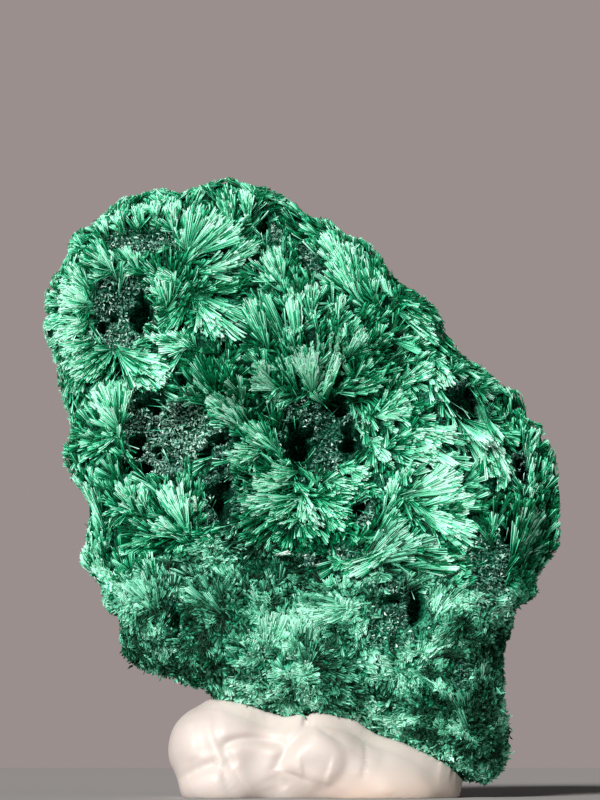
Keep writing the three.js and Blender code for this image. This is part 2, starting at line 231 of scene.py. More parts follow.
# The same of each druse, and its share of pale grains.
DRUSES = [
    (-15.0, 39.5, 2.6, 3.1, 0.6), (-13.2, 45.9, 2.9, 0.9, 0.65), (-12.3, 29.0, 1.8, 2.8, 0.65),
    (-9.2, 29.2, 2.0, 2.0, 0.9), (-7.0, 28.2, 1.3, 1.1, 0.6), (-10.9, 26.2, 1.6, 0.7, 0.6),
    (1.9, 29.1, 3.3, 2.7, 0.3), (-6.3, 24.0, 1.2, 2.8, 0.15), (13.5, 31.1, 1.7, 2.1, 0.1),
    (18.2, 26.2, 0.9, 1.4, 0.2), (8.3, 14.3, 2.2, 2.1, 0.1), (15.3, 17.6, 1.5, 2.6, 0.35),
    (-2.0, 46.1, 0.8, 0.8, 0.9), (0.8, 43.9, 0.7, 1.2, 0.7), (5.3, 22.6, 0.8, 1.2, 0.4),
    (3.9, 18.8, 1.0, 0.5, 0.5), (0.8, 18.3, 1.7, 0.4, 0.4), (6.6, 16.1, 1.0, 0.5, 0.8),
    (6.2, 12.4, 0.9, 1.5, 0.5), (-9.8, 13.6, 0.7, 1.6, 0.2), (12.4, 9.4, 0.6, 1.4, 0.3),
]


# How far the rim of a hollow wavers, as a share of its size.
RAGGED = 0.3


def inside(points, hollow):
    """How deep in a hollow of the front each point is: 1 in its middle and 0 outside its ragged rim."""
    x, z, half_width, half_height = hollow[:4]
    across, up = points[:, 0], points[:, 2]
    away = ((across - x) / half_width) ** 2 + ((up - z) / half_height) ** 2
    away += RAGGED * np.sin(4.1 * across + 1.9 * up) + RAGGED * np.sin(4.9 * up - 2.6 * across)
    return np.where(points[:, 1] < 0, np.clip(1 - away, 0, 1), 0)


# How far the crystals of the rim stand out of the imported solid, every ten degrees from +X towards +Z.
RIM_MIDDLE = (0.1, 0, 28.3)
RIM_GROWTH = [
    0.23, 0.23, 0.8, 0.08, 0, 0.15, 0, 0.15, 0.5, 0.1, 0.5, 0.7, 0.4, 0.6, 0.1, 0.1, 0.6, -0.3,
    0.4, 0.4, 0.15, -0.15, 0.1, 0, 0.15, 0.55, 0.85, 0.65, 0.55, 0.65, 0.3, -0.95, 0.9, 0.6, 0.3, 0.45, 0.23,
]
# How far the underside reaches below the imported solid, from left to right, and where it ends.
UNDERSIDE_X = (-9.6, -8.0, -6.2, -2.8, 0.0, 3.2, 6.3, 12.0, 14.0)
UNDERSIDE_DROP = (0, 0.5, 0.8, 1.0, 0.9, 0.7, 0.5, 0.4, 0)
UNDERSIDE_TOP = 13
# A swelling of 1 mm above the middle hollow: its middle x and z and its radius.
SWELL_X, SWELL_Z, SWELL_RADIUS = 1.3, 32, 2.2
# How soon a slanting part of the skin counts in full as facing a way.
FACING = 1.6
RIM_FACING = 1.5


def grow_rim(points, normals):
    """Brings the rim out to its crystals' ends and the underside down on the putty, and adds a swelling."""
    radial = unit((points - RIM_MIDDLE) * (1, 0, 1))
    turn = np.degrees(np.arctan2(radial[:, 2], radial[:, 0])) % 360
    share = np.clip(RIM_FACING * np.sum(radial * normals, axis=1), 0, 1)
    points += radial * (share * np.interp(turn, range(0, 361, 10), RIM_GROWTH))[:, None]
    depth = np.interp(points[:, 0], UNDERSIDE_X, UNDERSIDE_DROP)
    points[:, 2] -= depth * np.clip(-FACING * normals[:, 2], 0, 1) * (points[:, 2] < UNDERSIDE_TOP)
    away = (points[:, 0] - SWELL_X) ** 2 + (points[:, 2] - SWELL_Z) ** 2
    points[:, 1] -= np.exp(-away / SWELL_RADIUS ** 2) * np.clip(-FACING * normals[:, 1], 0, 1)


FOOT_TOP = 17.5
FOOT_WAVER = 3.5


def in_foot(points):
    """Whether each point is low on the stone, where the crystals are short and massive."""
    return points[:, 2] < FOOT_TOP + FOOT_WAVER * crumble(points, 4)


BODY_FACE = 0.42
DRUSE_DEPTH = 0.5
HOLE_DEPTH = 2.6
FOOT_CRUST = 0.25
# The height and the size of the small and the large lumps of the crust.
(small_height, small_size), (large_height, large_size) = (0.16, 0.55), (0.12, 1.3)
body_points, body_triangles = worn_copy("malachite", BODY_FACE, 12, inset=0.2, last_rounds=2)
body_normals = normals_of(body_points, body_triangles)
grain_height = small_height * crumble(body_points, small_size)
grain_height += large_height * crumble(body_points + 50, large_size)
sunk = np.zeros(len(body_points))
for hollows, hollow_depth in ((DRUSES, DRUSE_DEPTH), (HOLES, HOLE_DEPTH)):
    for hollow in hollows:
        sunk = np.maximum(sunk, hollow_depth * np.sqrt(inside(body_points, hollow)))
low_body = in_foot(body_points) & (body_normals[:, 1] < 0.3)
body_points = body_points + body_normals * (grain_height + np.where(low_body, FOOT_CRUST, 0))[:, None]
grow_rim(body_points, body_normals)
body_points[:, 1] += sunk * (body_normals[:, 1] < -0.2)
stone_body = new_piece("stone_body", body_points, body_triangles, crust, smooth=True)
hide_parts("malachite")


# The fans on the front face: sprays of silky needles that start in the hollows and lie out over each other
# like feathers. Each spray is made of flat blades, and each blade is a row of closed needles.
# A needle's own map holds its tone across and the way along it, which the material colours.

SKIN_FACE = 0.45
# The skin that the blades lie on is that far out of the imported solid.
SKIN_OUT = 0.35
skin_points, skin_triangles = worn_copy("malachite", SKIN_FACE, 12)
skin_normals = normals_of(skin_points, skin_triangles)
skin_points += SKIN_OUT * skin_normals
grow_rim(skin_points, skin_normals)
skin = BVHTree.FromPolygons(skin_points.tolist(), skin_triangles.tolist())
NEEDLE_SPACING = 0.062
NEEDLE_RADIUS = 0.037
# Start x and z, heading from +X towards +Z in degrees, length, half spread in degrees and tone, which is
# 0 for black green and 1 for mint.
FRONT_FANS = [
    (-17.5, 40.3, 169, 3.6, 28, 0.95), (-17.7, 41.4, 138, 3.5, 24, 0.85), (-17.3, 38.8, -164, 3.9, 22, 0.8),
    (-16.9, 37.1, -155, 4.2, 20, 0.5), (-15.6, 43.1, 141, 4.0, 26, 0.55), (-16.4, 46.3, 122, 2.3, 20, 0.85),
    (-14.9, 46.7, 111, 2.5, 20, 0.85), (-13.4, 47.2, 104, 2.4, 18, 0.85), (-12.3, 47.6, 93, 2.5, 14, 0.85),
    (-10.7, 46.3, 94, 3.5, 16, 0.95), (-9.7, 44.2, 65, 5.4, 30, 0.8), (-8.7, 44.4, 34, 5.0, 22, 0.75),
    (-5.7, 46.5, 102, 4.1, 16, 0.5), (-4.3, 47.4, 98, 3.2, 14, 0.9), (-7.0, 43.2, 30, 4.6, 13, 0.65),
    (-8.5, 42.5, 12, 4.1, 13, 0.6), (-8.4, 40.9, 10, 4.0, 20, 0.3), (-8.6, 40.4, -48, 5.5, 24, 0.75),
    (-9.4, 40.4, -116, 3.4, 16, 0.3), (-8.6, 35.9, 162, 4.1, 20, 0.75), (-11.1, 39.7, 98, 4.0, 20, 0.7),
    (-9.8, 41.6, 154, 2.8, 16, 0.75), (-13.5, 43.0, 115, 2.9, 26, 0.65), (-15.2, 40.8, 88, 3.3, 6, 0.8),
    (-15.5, 36.5, -45, 6.6, 22, 0.65), (-15.6, 36.6, -128, 4.4, 26, 0.4), (-14.8, 29.0, 102, 4.6, 36, 0.75),
    (-4.5, 29.5, 147, 4.2, 20, 0.9), (-7.0, 32.0, 103, 3.7, 24, 0.2), (-5.9, 32.6, 93, 3.2, 16, 0.3),
    (-4.1, 29.6, 119, 4.4, 14, 0.35), (-1.5, 27.6, 152, 3.9, 16, 0.6), (-2.8, 27.8, -159, 3.3, 16, 0.85),
    (0.0, 26.2, -170, 3.6, 14, 0.65), (0.0, 25.2, -158, 4.7, 14, 0.85), (-0.2, 24.0, -148, 5.5, 12, 0.85),
    (0.2, 24.0, -127, 4.1, 12, 0.7), (0.3, 24.5, -94, 4.7, 15, 0.9), (1.1, 24.2, -56, 4.9, 20, 0.4),
    (1.0, 23.9, -68, 5.1, 8, 0.9), (2.4, 25.7, -42, 3.9, 11, 0.75), (3.2, 26.6, -19, 3.6, 13, 0.9),
    (5.7, 28.6, -48, 3.3, 13, 0.8), (5.9, 30.6, 13, 4.4, 22, 0.8), (6.9, 28.3, -3, 3.5, 14, 0.3),
    (8.1, 29.3, -18, 6.3, 14, 0.95), (8.5, 27.3, -18, 3.8, 12, 0.75), (8.2, 23.5, 21, 5.4, 16, 0.95),
    (9.5, 22.9, 9, 5.1, 9, 0.8), (11.3, 22.3, 12, 3.6, 14, 0.3), (9.3, 22.6, -28, 5.6, 16, 0.95),
    (5.6, 18.4, 16, 5.7, 15, 0.9), (8.0, 19.2, -11, 4.2, 14, 0.35), (8.0, 18.0, -3, 5.1, 11, 0.7),
    (8.0, 16.0, 14, 4.8, 18, 0.8), (10.2, 13.6, 60, 3.7, 24, 0.8), (12.7, 30.1, -56, 4.0, 13, 0.98),
    (11.4, 32.3, -65, 3.3, 12, 0.85), (11.3, 35.0, -81, 3.7, 13, 0.95), (14.7, 31.3, -76, 8.0, 9, 0.85),
    (18.4, 20.0, 88, 3.4, 24, 0.55), (18.4, 23.9, 78, 1.8, 20, 0.9), (7.1, 23.4, 75, 2.0, 14, 0.9),
    (-1.8, 41.5, 125, 3.2, 24, 0.75), (-1.4, 41.6, 106, 3.4, 16, 0.6), (-2.5, 35.5, 110, 5.3, 13, 0.6),
    (-1.2, 36.2, 106, 4.8, 11, 0.5), (-0.2, 35.7, 99, 5.4, 11, 0.8), (1.0, 38.9, 90, 2.9, 16, 0.9),
    (3.1, 38.0, 81, 2.8, 8, 0.9), (5.2, 39.9, 123, 5.0, 18, 0.6), (5.1, 40.6, 102, 5.5, 13, 0.7),
    (3.8, 43.2, 114, 4.0, 20, 0.8), (6.3, 40.3, 94, 4.3, 15, 0.35), (7.8, 40.6, 110, 3.3, 9, 0.75),
    (1.0, 32.3, 97, 4.4, 18, 0.98), (2.0, 32.0, 87, 4.8, 11, 0.98), (-0.3, 32.5, 107, 3.8, 14, 0.6),
    (-1.5, 32.6, 156, 3.8, 20, 0.8), (3.7, 35.2, 53, 4.0, 11, 0.85), (3.9, 32.5, 24, 4.1, 18, 0.6),
    (7.7, 32.8, 23, 4.3, 16, 0.85), (5.3, 35.5, 50, 3.8, 18, 0.3), (7.6, 35.3, 23, 3.4, 16, 0.45),
    (7.8, 40.1, -48, 5.5, 12, 0.6), (8.8, 40.3, -41, 3.9, 10, 0.4), (-8.8, 20.6, 115, 4.8, 20, 0.95),
    (-12.1, 22.2, 99, 2.5, 9, 0.8), (-13.2, 22.2, 109, 3.1, 24, 0.65), (-16.1, 20.8, 111, 4.7, 8, 0.9),
    (-16.6, 17.2, 96, 4.0, 12, 0.8), (-9.6, 20.3, 158, 2.6, 24, 0.75), (-7.1, 20.3, -89, 2.1, 16, 0.98),
    (-9.7, 16.3, -106, 1.7, 10, 0.9), (-12.9, 14.7, -101, 2.9, 14, 0.6), (-9.5, 13.1, -119, 2.5, 9, 0.85),
    (-7.1, 13.1, -112, 2.9, 10, 0.2), (-2.8, 10.3, 80, 4.5, 18, 0.8), (-0.3, 10.5, 85, 3.6, 20, 0.75),
    (3.6, 13.3, 103, 2.8, 20, 0.9), (7.7, 19.3, -152, 5.1, 10, 0.85), (13.2, 13.9, -137, 5.1, 15, 0.85),
    (3.7, 18.0, 169, 2.1, 22, 0.6), (14.5, 7.8, 95, 2.8, 7, 0.85), (4.4, 17.6, 36, 6.0, 22, 0.6),
    (5.0, 14.6, -166, 6.0, 24, 0.6), (-5.8, 13.6, 132, 4.2, 30, 0.5), (-11.2, 13.8, 122, 4.0, 34, 0.5),
    (0.6, 9.6, 88, 4.0, 34, 0.5), (9.4, 10.2, 32, 4.6, 34, 0.45), (13.2, 4.6, 100, 4.4, 34, 0.45),
    (17.0, 17.8, 78, 6.4, 24, 0.35), (1.9, 31.9, 92, 3.2, 5, 1.2), (3.0, 35.4, 85, 2.0, 8, 1.1),
]
# Middle x and z of a darker or paler patch, its reach and how much paler it is.
# The pale patch at x -18.5, z 37 is painted light on the left rim, whose slope faces away from the light.
SHADES = [
    (-7.1, 34.3, 1.7, -0.45), (-11.9, 22.6, 1.5, -0.25), (-0.7, 18.9, 2.4, -0.2), (12.6, 11.4, 2.4, -0.3),
    (13.5, 7.5, 4.0, -0.2), (0.9, 10.8, 3.6, 0.2), (12.6, 25.0, 3.2, 0.38), (-18.5, 37.0, 4.6, 0.5),
    (2.3, 38.7, 1.0, -0.5), (5.8, 38.8, 1.6, -0.25), (-2.7, 38.0, 1.2, -0.3), (-12.0, 17.0, 2.6, -0.1),
    (-8.0, 12.8, 2.4, -0.55), (-11.5, 14.4, 1.3, -0.3), (-6.6, 11.0, 1.2, -0.3), (15.8, 17.5, 1.8, -0.35),
    (-2.0, 36.0, 16.0, 0.06), (10.0, 36.5, 2.5, -0.12), (-9.4, 13.8, 0.8, -0.4), (11.8, 6.5, 1.2, -0.3),
    (10.2, 17.2, 1.5, -0.2), (-7.2, 16.0, 0.9, -0.3), (6.0, 11.1, 1.3, -0.3), (9.4, 6.3, 1.6, -0.3),
    (14.0, 2.4, 1.6, -0.35), (14.3, 7.1, 1.2, -0.3), (-6.6, 8.4, 1.2, -0.3), (-13.6, 11.3, 1.2, -0.2),
    (-10.8, 12.3, 0.8, -0.35), (-13.6, 17.3, 1.8, 0.35), (18.6, 27.4, 2.0, 0.2), (-15.8, 34.3, 1.5, -0.3),
    (-9.8, 36.6, 1.0, -0.15), (-14.0, 31.0, 8.0, 0.08), (14.0, 26.0, 6.0, 0.08), (-7.1, 34.3, 1.2, -0.2),
    (0.5, 9.8, 2.0, 0.15),
]
# Besides, the tone is mottled: the sizes of the fine and the broad mottle, and how strong each is below
# and above a height.
MOTTLE_SIZES = (1.3, 3.1)
MOTTLE_BORDER = 16
LOW_MOTTLE = (0.8, 0.5)
HIGH_MOTTLE = (0.28, 0.2)


def shade_at(point):
    """How much paler than its spray a needle is at a point of the front."""
    patches = [change * np.exp(-((point[0] - x) ** 2 + (point[2] - z) ** 2) / reach ** 2)
               for x, z, reach, change in SHADES]
    fine, broad = (noise.noise(Vector(point / size)) for size in MOTTLE_SIZES)
    fine_share, broad_share = LOW_MOTTLE if point[2] < MOTTLE_BORDER else HIGH_MOTTLE
    return sum(patches) + fine_share * fine + broad_share * broad


def flat_heading(degrees, normal):
    """A heading on the front face, laid down on the skin."""
    turn = np.radians(degrees)
    heading = np.array([np.cos(turn), 0.0, np.sin(turn)])
    return unit(heading - normal * (heading @ normal))


# The shares of dark blades and of dark needles in a blade, how deep a blade's foot is in the skin, how much
# narrower it is there, how much shorter the blades at a spray's sides are, and how unevenly needles stand.
DARK_BLADES = 0.26
DARK_NEEDLES = 0.16
BLADE_SINK = 0.4
FOOT_WIDTH = 0.45
SHORT_SIDES = 0.14
UNEVEN = 0.03


def grow_spray(into, rng, start, normal, heading, reach, spread, blades, tone, rise,
               long=(1.2, 2.8), width=0.5, contrast=0.14, first=0.04):
    """Adds one spray: flat blades that lie like shingles over the skin, each a row of needles."""
    across = np.cross(normal, heading)
    for i in range(blades):
        turn = np.radians(spread) * rng.uniform(-1, 1)
        out = np.cos(turn) * heading + np.sin(turn) * across
        far = reach * np.sqrt(rng.uniform(first, 1)) * (1 - SHORT_SIDES * (turn / np.radians(spread)) ** 2)
        near = max(far - rng.uniform(*long), 0)
        tip, tip_normal, _, _ = skin.find_nearest(Vector(start + out * far))
        base, _, _, _ = skin.find_nearest(Vector(start + out * near))
        tip_normal = np.array(tip_normal)
        height = rng.uniform(*rise)
        height *= np.clip(-FACING * tip_normal[1], 0.25, 1) if height > 0 else 1
        tip = np.array(tip) + tip_normal * height
        base = np.array(base) - tip_normal * BLADE_SINK
        way = unit(tip - base)
        side = unit(np.cross(tip_normal, way))
        up = np.cross(way, side)
        roll = rng.normal(0, 0.4)
        side, up = np.cos(roll) * side + np.sin(roll) * up, np.cos(roll) * up - np.sin(roll) * side
        half_width = 0.5 * width * rng.uniform(0.5, 1.4)
        count = max(4, round(2 * half_width / NEEDLE_SPACING))
        row = np.linspace(-1, 1, count)
        place_across = row * half_width + rng.normal(0, 0.02, count)
        slant, point = rng.normal(0, 0.5), rng.uniform(0.1, 0.8)
        cut = slant * place_across - point * np.abs(place_across) - np.abs(rng.normal(0, 0.12, count))
        bent = rng.normal(0, UNEVEN, count)
        ends = tip + side * place_across[:, None] + up * bent[:, None] + way * cut[:, None]
        starts = base + side * FOOT_WIDTH * place_across[:, None] + rng.normal(0, UNEVEN, (count, 3))
        into["base"].append(starts)
        into["tip"].append(ends)
        into["width"].append(rng.uniform(0.75, 1.25, count))
        # Partly painted shade and light: blades that end near the spray's start or lie low are darker, as in
        # the shade of the blades over them, and far-reaching, high-standing ones are paler.
        blade_tone = tone + 0.5 * (far / reach - 0.45) + 0.4 * height + shade_at(tip)
        blade_tone += rng.normal(0, contrast)
        blade_tone -= 3 * contrast if rng.uniform() < DARK_BLADES else 0
        # A share of needles is dark at random, and the outer needles of each blade are darker, as painted
        # shade in the slits between blades.
        dark_needles_and_edge_shade = np.where(rng.uniform(size=count) < DARK_NEEDLES, 2.5 * contrast, 0)
        dark_needles_and_edge_shade += np.where(np.abs(row) > 0.9, 1.4 * contrast, 0)
        into["tone"].append(np.clip(blade_tone + rng.normal(0, 1.2 * contrast, count) - dark_needles_and_edge_shade, 0.03, 0.99))


# The share of needles that stray into a hollow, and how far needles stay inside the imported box.
STRAYS = 0.012
BOX_GAP = 0.1
# How far each corner of a needle's end is turned about it and cut back, in radii.
END_CORNERS = ((0, 0.0), (2 * np.pi / 3, 1.6), (4 * np.pi / 3, 3.4))
# Where a needle's foot and the corners of its end lie on its map, beside its tone and along it.
MAP_ACROSS = np.array([0, -0.012, 0, 0.012])
MAP_ALONG = np.array([0.01, 0.99, 0.97, 0.95])


def needle_piece(name, needles, rng, material, radius=NEEDLE_RADIUS, least=0.4, hollows=DRUSES + HOLES):
    """One mesh of closed needles that widen from a point to an oblique end, with their colour map."""
    base, tip, width, tone = (np.concatenate(needles[key]) for key in ("base", "tip", "width", "tone"))
    keep = np.linalg.norm(tip - base, axis=1) > least
    strays = rng.uniform(size=len(base)) < STRAYS
    for hollow in hollows:
        for point in (tip, 0.5 * (tip + base)):
            keep &= (inside(point, hollow) == 0) | strays
    low, high = (np.array(corner) / MM for corner in cad_box)
    keep &= np.all((tip > low + BOX_GAP) & (tip < high - BOX_GAP) & (base > low) & (base < high), axis=1)
    base, tip, width, tone = base[keep], tip[keep], width[keep], tone[keep]
    way = unit(tip - base)
    side = unit(np.cross(way, unit(rng.normal(size=way.shape))))
    up = np.cross(way, side)
    points = [base]
    for turn, cut in END_CORNERS:
        ring = np.cos(turn) * side + np.sin(turn) * up - cut * way
        points.append(tip + radius * width[:, None] * ring)
    points = np.stack(points, axis=1).reshape(-1, 3)
    corners = np.array([(0, 2, 1), (0, 3, 2), (0, 1, 3), (1, 2, 3)])
    triangles = (4 * np.arange(len(base))[:, None, None] + corners).reshape(-1, 3)
    piece = new_piece(name, points, triangles, material)
    along = np.broadcast_to(MAP_ALONG[corners], (len(base), 4, 3))
    corner_map = np.stack([tone[:, None, None] + MAP_ACROSS[corners], along], -1)
    layer = piece.data.uv_layers.new(name="OFBake")
    layer.data.foreach_set("uv", corner_map.astype(np.float32).ravel())
    return piece


def needle_material(name, stops, roughness):
    """Silky malachite, black green where a needle starts and mint at its tip: partly its own colour, partly
    painted shade at the foot and painted light at the tip.
    """
    material, shader, first = new_material(name, Roughness=roughness, Specular_IOR_Level=0.08)
    own_map = first.node("ShaderNodeUVMap", {"uv_map": "OFBake"})
    tone = first.node("ShaderNodeSeparateXYZ", None, {"Vector": own_map}, "X")
    along = first.node("ShaderNodeSeparateXYZ", None, {"Vector": own_map}, "Y")
    # Along each needle the colour runs from painted shade at its foot to painted light at its tip.
    light = along * 0.4 + tone * 0.65
    feed(shader, "Base Color", first.node("ShaderNodeValToRGB", {"stops": stops}, {"Fac": light}))
    return material


silk = needle_material("malachite_silk", [
    (0.0, (0.0001, 0.006, 0.002)), (0.26, (0.0004, 0.035, 0.012)), (0.44, (0.001, 0.19, 0.066)),
    (0.62, (0.03, 0.53, 0.265)), (0.87, (0.31, 0.97, 0.67)), (1.0, (0.62, 1.0, 0.85)),
], 0.45)

foot_silk = needle_material("malachite_foot", [
    (0.0, (0.001, 0.004, 0.003)), (0.32, (0.004, 0.019, 0.01)), (0.5, (0.018, 0.13, 0.062)),
    (0.69, (0.085, 0.46, 0.28)), (0.9, (0.28, 0.8, 0.56)), (1.0, (0.5, 0.92, 0.75)),
], 0.5)

SEED = 21
rng = np.random.default_rng(SEED)
# The pieces that the front's needles are split over, each with its middle x and z.
REGIONS = {
    "crown_left": (-13, 41), "crown_right": (3, 42), "heart": (0, 27), "left": (-13, 24),
    "right": (14, 25), "foot_left": (-8, 13), "foot_right": (10, 9),
}


def no_needles():
    return {"base": [], "tip": [], "width": [], "tone": []}


fields = {name: no_needles() for name in REGIONS}


def field_of(point):
    """The needles of the region that a point of the front face is in."""
    distances = {name: np.hypot(point[0] - x, point[2] - z) for name, (x, z) in REGIONS.items()}
    return fields[min(distances, key=distances.get)]


def on_front(x, z):
    """The place and the normal of the skin at an x and z of the front face."""
    place, normal, _, _ = skin.ray_cast(Vector((x, -40, z)), Vector((0, 1, 0)))
    return np.array(place), np.array(normal)


# The fans' starts are given from a line that is this far right of the frame's middle.
FANS_RIGHT = 0.125
# The palest fans, above this tone, stand this much higher.
PALE_TONE, PALE_LIFT = 0.96, 0.4
# The blades of a fan low on the stone and of one above: how far they stand up, how many there are beside the
# usual, how long they are as shares of the fan's length, how wide, and how much their tones vary.
LOW_LIFT, HIGH_LIFT = (0, 0.1), (0.1, 0.35)
LOW_COUNT, HIGH_COUNT = 0.7, 1.4
LOW_SHARES, HIGH_SHARES = (0.35, 0.75), (0.5, 0.9)
LOW_FAN = {"width": 0.4, "contrast": 0.1, "first": 0.04}
HIGH_FAN = {"width": 0.34, "contrast": 0.24, "first": 0.16}
for x, z, heading, length, spread, tone in FRONT_FANS:
    place, normal = on_front(x + FANS_RIGHT, z)
    is_low = in_foot(place[None])[0]
    lift = rng.uniform(*(LOW_LIFT if is_low else HIGH_LIFT)) + (PALE_LIFT if tone > PALE_TONE else 0)
    blades = round((8 + 0.11 * spread * length ** 2) * (LOW_COUNT if is_low else HIGH_COUNT))
    shortest, longest = LOW_SHARES if is_low else HIGH_SHARES
    grow_spray(
        field_of(place), rng, place, normal, flat_heading(heading, normal), length, spread, blades, tone,
        rise=(lift - 0.25, lift + 0.15), long=(shortest * length, longest * length),
        **(LOW_FAN if is_low else HIGH_FAN),
    )

order = rng.permutation(len(skin_points))
is_front = skin_normals[:, 1] < -0.3


def scattered(among, spacing):
    """Points of the skin in a mixed order, none closer to another than the spacing."""
    cells = {}
    chosen = []
    for number in among:
        point = skin_points[number]
        cell = tuple((point // spacing).astype(int))
        near = [other for dx in (-1, 0, 1) for dy in (-1, 0, 1) for dz in (-1, 0, 1)
                for other in cells.get((cell[0] + dx, cell[1] + dy, cell[2] + dz), [])]
        if all(np.sum((point - skin_points[other]) ** 2) > spacing ** 2 for other in near):
            cells.setdefault(cell, []).append(number)
            chosen.append(number)
    return chosen


# Small sprays fill the front between the fans, with the heading and half the tone of the nearest fan.
# Low on the stone they are closer, shorter and more even.
HIGH_SPACING = 0.85
LOW_SPACING = 0.6
LOW_FILLER = {"blades": 8, "long": (0.8, 1.8), "width": 0.4, "contrast": 0.09}
HIGH_FILLER = {"blades": 9, "long": (1.0, 2.4), "width": 0.36, "contrast": 0.22}
# The seams between the fans are darker by up to this, as painted shade, and the rim's slope at the top left
# is paler, as painted light where it turns from the front.
SEAM_SHADE = 0.3
RIM_PAINTED_LIGHT = 0.35
fan_x, fan_z, fan_headings, fan_lengths, fan_spreads, fan_tones = np.array(FRONT_FANS).T
is_foot = in_foot(skin_points)
front = scattered([n for n in order if is_front[n] and not is_foot[n]], HIGH_SPACING)
front += scattered([n for n in order if is_front[n] and is_foot[n]], LOW_SPACING)
for number in front:
    place, normal = skin_points[number], skin_normals[number]
    away = np.hypot(place[0] - fan_x, place[2] - fan_z)
    bearing = np.degrees(np.arctan2(place[2] - fan_z, place[0] - fan_x))
    off = np.abs((bearing - fan_headings + 180) % 360 - 180)
    stray = np.abs(away / fan_lengths - 0.5) * fan_lengths + off / fan_spreads
    best = np.argmin(stray)
    is_low = is_foot[number]
    heading = bearing[best] + rng.normal(0, 35 if is_low else 14)
    tone = 0.5 * fan_tones[best] + (rng.normal(0.3, 0.08) if is_low else rng.normal(0.27, 0.12))
    tone -= 0 if is_low else SEAM_SHADE * np.clip(stray[best] - 1.4, 0, 1)
    # Painted light on the rim's slope at the top left.
    if place[0] < 8 and place[2] > 14:
        tone += RIM_PAINTED_LIGHT * np.clip(1 + 1.3 * normal[1], 0, 1)
    lift = rng.uniform(-0.15, 0.05) if is_low else rng.uniform(-0.35, 0.05)
    reach = rng.uniform(1.2, 2.4) if is_low else rng.uniform(2.2, 3.6)
    heading = flat_heading(heading, normal)
    grow_spray(
        field_of(place), rng, place - 0.6 * reach * heading, normal, heading, reach, rng.uniform(20, 36),
        tone=tone, rise=(lift - 0.1, lift + 0.05) if is_low else (lift - 0.15, lift + 0.2),
        **(LOW_FILLER if is_low else HIGH_FILLER),
    )

for name in REGIONS:
    needle_piece("needles_" + name, fields[name], rng, foot_silk if name.startswith("foot") else silk)


# The needles of the rim and the back: short tufts of the same silky malachite that lie outwards and
# towards the front over the edge of the slab, and longer, coarser ones in all directions behind.

RIM_SPACING = 0.9
BACK_SPACING = 1.75
HEART = np.array([0.0, 0.0, 28.0])


def outwards(number, lean, mess):
    """A heading along the skin, away from the stone's heart, with a lean and some disorder."""
    heading = unit((skin_points[number] - HEART) * (1, 0, 1)) + lean + rng.normal(0, mess, 3)
    return unit(heading - skin_normals[number] * (heading @ skin_normals[number]))


rim_needles = no_needles()
is_rim = ~is_front & (skin_normals[:, 1] < 0.4)
for number in scattered([n for n in order if is_rim[n]], RIM_SPACING):
    place, normal = skin_points[number], skin_normals[number]
    heading = outwards(number, (0, -1.4, 0), 0.4)
    # Painted light: the rim's tufts at the top left, on the side towards the light, are paler than the
    # others.
    tone = rng.uniform(0.65, 0.95) if place[0] < 8 and place[2] > 15 else rng.uniform(0.25, 0.6)
    grow_spray(
        rim_needles, rng, place, normal, heading, reach=rng.uniform(0.9, 1.7), spread=34, blades=6,
        tone=tone, rise=(-0.2, 0.05), long=(0.6, 1.4), width=0.4,
    )
back_needles = no_needles()
for number in scattered([n for n in order if not (is_rim | is_front)[n]], BACK_SPACING):
    heading = outwards(number, (0, 0, 0), 0.9)
    grow_spray(
        back_needles, rng, skin_points[number], skin_normals[number], heading, reach=rng.uniform(2.0, 3.6),
        spread=60, blades=10, tone=rng.uniform(0.3, 0.7), rise=(-0.3, 0.1), width=0.6,
    )
needle_piece("needles_rim", rim_needles, rng, silk, radius=0.04)
needle_piece("needles_back", back_needles, rng, silk, radius=0.05)


# The crust of short crystals in the hollows and over the foot: chunky grains that stand off the body of
# the stone, grey green in the hollows, and dark but for a share of pale ones. Two tiny bundles of white
# needles lie among them.


def strew_grains(into, near, count, pale, dark_tones, pale_tones, long, mottle=0.0):
    """Adds grains about the body's points: a share is pale, and they may follow the needles' mottle."""
    chosen = np.repeat(near, count)
    leans = unit(body_normals[chosen] + rng.normal(0, 0.7, (len(chosen), 3)))
    roots = body_points[chosen] + rng.normal(0, 0.15, (len(chosen), 3)) - 0.15 * leans
    is_pale = rng.uniform(size=len(chosen)) < pale
    into["base"].append(roots)
    into["tip"].append(roots + leans * rng.uniform(0.25, long, len(chosen))[:, None])
    into["width"].append(rng.uniform(1.0, 3.2, len(chosen)))
    tones = np.where(is_pale, rng.uniform(*pale_tones, len(chosen)), rng.uniform(*dark_tones, len(chosen)))
    shades = np.repeat([mottle * shade_at(point) if mottle else 0 for point in body_points[near]], count)
    into["tone"].append(np.clip(tones + shades, 0.03, 0.99))


druse_grey = needle_material("malachite_druse", [
    (0.0, (0.001, 0.01, 0.006)), (0.3, (0.008, 0.05, 0.032)), (0.5, (0.045, 0.18, 0.13)),
    (0.72, (0.2, 0.5, 0.385)), (0.92, (0.52, 0.82, 0.69)), (1.0, (0.8, 0.95, 0.87)),
], 0.4)
# The crust reaches past the edge of its hollow by this factor.
OVERLAP = 1.2
druse_grains = no_needles()
for x, z, half_width, half_height, pale in DRUSES:
    near = np.flatnonzero(inside(body_points, (x, z, OVERLAP * half_width, OVERLAP * half_height)) > 0)
    strew_grains(druse_grains, near, 7, pale, dark_tones=(0.1, 0.4), pale_tones=(0.45, 0.95), long=0.5)
# Start x and z and heading of each white bundle.
for x, z, heading in ((-8.2, 22.2, 92), (-1.9, 18.6, 8)):
    place, normal = on_front(x, z)
    grow_spray(
        druse_grains, rng, place, normal, flat_heading(heading, normal), reach=1.5, spread=3, blades=6,
        tone=2.0, rise=(0.35, 0.5), long=(1.3, 1.5), width=0.2,
    )
needle_piece("druse_grains", druse_grains, rng, druse_grey, radius=0.043, least=0.1, hollows=HOLES)

